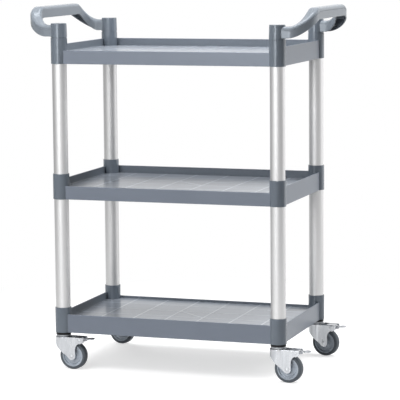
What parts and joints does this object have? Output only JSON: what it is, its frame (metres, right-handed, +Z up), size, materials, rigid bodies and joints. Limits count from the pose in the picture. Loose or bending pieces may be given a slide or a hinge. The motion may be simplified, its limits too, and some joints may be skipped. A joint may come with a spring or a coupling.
{
  "type": "serving trolley",
  "caption": "Serving trolley with moulded plastic trays on aluminium tube uprights, a push handle at each end and braked swivel casters.",
  "frame": {"origin": "on the floor, under the middle of the trolley", "axes": "+X to the right-hand handle, +Y to the back, +Z up"},
  "size_m": [0.773, 0.4013, 0.941],
  "materials": {
    "tray_plastic": "satin moulded polypropylene, blue grey",
    "handle_plastic": "satin moulded polypropylene, blue grey",
    "tube_aluminium": "satin anodised",
    "bush_nylon": "black moulded nylon",
    "zinc_steel": "bright zinc plated pressing",
    "bright_steel": "turned and zinc plated",
    "hub_plastic": "moulded polypropylene, grey",
    "tyre_rubber": "dark grey thermoplastic rubber"
  },
  "bodies": {
    "frame": {"top_tray": "tray_plastic", "middle_tray": "tray_plastic", "bottom_tray": "tray_plastic", "left_handle": "handle_plastic", "right_handle": "handle_plastic", "caster_bushes": "bush_nylon", "front_left_lower_tube": "tube_aluminium", "front_left_upper_tube": "tube_aluminium", "front_left_caster_stem": "bright_steel", "front_left_upper_race": "zinc_steel", "front_right_lower_tube": "tube_aluminium", "front_right_upper_tube": "tube_aluminium", "front_right_caster_stem": "bright_steel", "front_right_upper_race": "zinc_steel", "rear_left_lower_tube": "tube_aluminium", "rear_left_upper_tube": "tube_aluminium", "rear_left_caster_stem": "bright_steel", "rear_left_upper_race": "zinc_steel", "rear_right_lower_tube": "tube_aluminium", "rear_right_upper_tube": "tube_aluminium", "rear_right_caster_stem": "bright_steel", "rear_right_upper_race": "zinc_steel"},
    "front_left_caster": {"front_left_fork": "zinc_steel", "front_left_bearing_balls": "bright_steel", "front_left_axle_bolt": "bright_steel", "front_left_axle_nut": "bright_steel", "front_left_axle_sleeve": "bright_steel", "front_left_brake_pin": "bright_steel"},
    "front_left_wheel": {"front_left_wheel_hub": "hub_plastic", "front_left_tyre": "tyre_rubber"},
    "front_left_brake": {"front_left_brake_pedal": "zinc_steel"},
    "front_right_caster": {"front_right_fork": "zinc_steel", "front_right_bearing_balls": "bright_steel", "front_right_axle_bolt": "bright_steel", "front_right_axle_nut": "bright_steel", "front_right_axle_sleeve": "bright_steel", "front_right_brake_pin": "bright_steel"},
    "front_right_wheel": {"front_right_wheel_hub": "hub_plastic", "front_right_tyre": "tyre_rubber"},
    "front_right_brake": {"front_right_brake_pedal": "zinc_steel"},
    "rear_left_caster": {"rear_left_fork": "zinc_steel", "rear_left_bearing_balls": "bright_steel", "rear_left_axle_bolt": "bright_steel", "rear_left_axle_nut": "bright_steel", "rear_left_axle_sleeve": "bright_steel", "rear_left_brake_pin": "bright_steel"},
    "rear_left_wheel": {"rear_left_wheel_hub": "hub_plastic", "rear_left_tyre": "tyre_rubber"},
    "rear_left_brake": {"rear_left_brake_pedal": "zinc_steel"},
    "rear_right_caster": {"rear_right_fork": "zinc_steel", "rear_right_bearing_balls": "bright_steel", "rear_right_axle_bolt": "bright_steel", "rear_right_axle_nut": "bright_steel", "rear_right_axle_sleeve": "bright_steel", "rear_right_brake_pin": "bright_steel"},
    "rear_right_wheel": {"rear_right_wheel_hub": "hub_plastic", "rear_right_tyre": "tyre_rubber"},
    "rear_right_brake": {"rear_right_brake_pedal": "zinc_steel"}
  },
  "joints": [
    {"name": "front_left_swivel", "type": "hinge", "parent": "frame", "child": "front_left_caster", "pos_m": [-0.2925, -0.179, 0.086], "axis": [0, 0, 1], "continuous": true},
    {"name": "front_left_wheel_spin", "type": "hinge", "parent": "front_left_caster", "child": "front_left_wheel", "pos_m": [-0.26402, -0.17999, 0.036], "axis": [0.0349, 0.9994, 0], "continuous": true},
    {"name": "front_left_brake_press", "type": "hinge", "parent": "front_left_caster", "child": "front_left_brake", "pos_m": [-0.24253, -0.18074, 0.079], "axis": [0.0349, 0.9994, 0], "range_deg": [0, 24]},
    {"name": "front_right_swivel", "type": "hinge", "parent": "frame", "child": "front_right_caster", "pos_m": [0.2925, -0.179, 0.086], "axis": [0, 0, 1], "continuous": true},
    {"name": "front_right_wheel_spin", "type": "hinge", "parent": "front_right_caster", "child": "front_right_wheel", "pos_m": [0.32095, -0.18074, 0.036], "axis": [0.061, 0.9981, 0], "continuous": true},
    {"name": "front_right_brake_press", "type": "hinge", "parent": "front_right_caster", "child": "front_right_brake", "pos_m": [0.34241, -0.18205, 0.079], "axis": [0.061, 0.9981, 0], "range_deg": [0, 24]},
    {"name": "rear_left_swivel", "type": "hinge", "parent": "frame", "child": "rear_left_caster", "pos_m": [-0.2925, 0.179, 0.086], "axis": [0, 0, 1], "continuous": true},
    {"name": "rear_left_wheel_spin", "type": "hinge", "parent": "rear_left_caster", "child": "rear_left_wheel", "pos_m": [-0.26428, 0.17503, 0.036], "axis": [0.1392, 0.9903, 0], "continuous": true},
    {"name": "rear_left_brake_press", "type": "hinge", "parent": "rear_left_caster", "child": "rear_left_brake", "pos_m": [-0.24299, 0.17204, 0.079], "axis": [0.1392, 0.9903, 0], "range_deg": [0, 24]},
    {"name": "rear_right_swivel", "type": "hinge", "parent": "frame", "child": "rear_right_caster", "pos_m": [0.2925, 0.179, 0.086], "axis": [0, 0, 1], "continuous": true},
    {"name": "rear_right_wheel_spin", "type": "hinge", "parent": "rear_right_caster", "child": "rear_right_wheel", "pos_m": [0.32065, 0.17454, 0.036], "axis": [0.1564, 0.9877, 0], "continuous": true},
    {"name": "rear_right_brake_press", "type": "hinge", "parent": "rear_right_caster", "child": "rear_right_brake", "pos_m": [0.34188, 0.17118, 0.079], "axis": [0.1564, 0.9877, 0], "range_deg": [0, 24]}
  ]
}
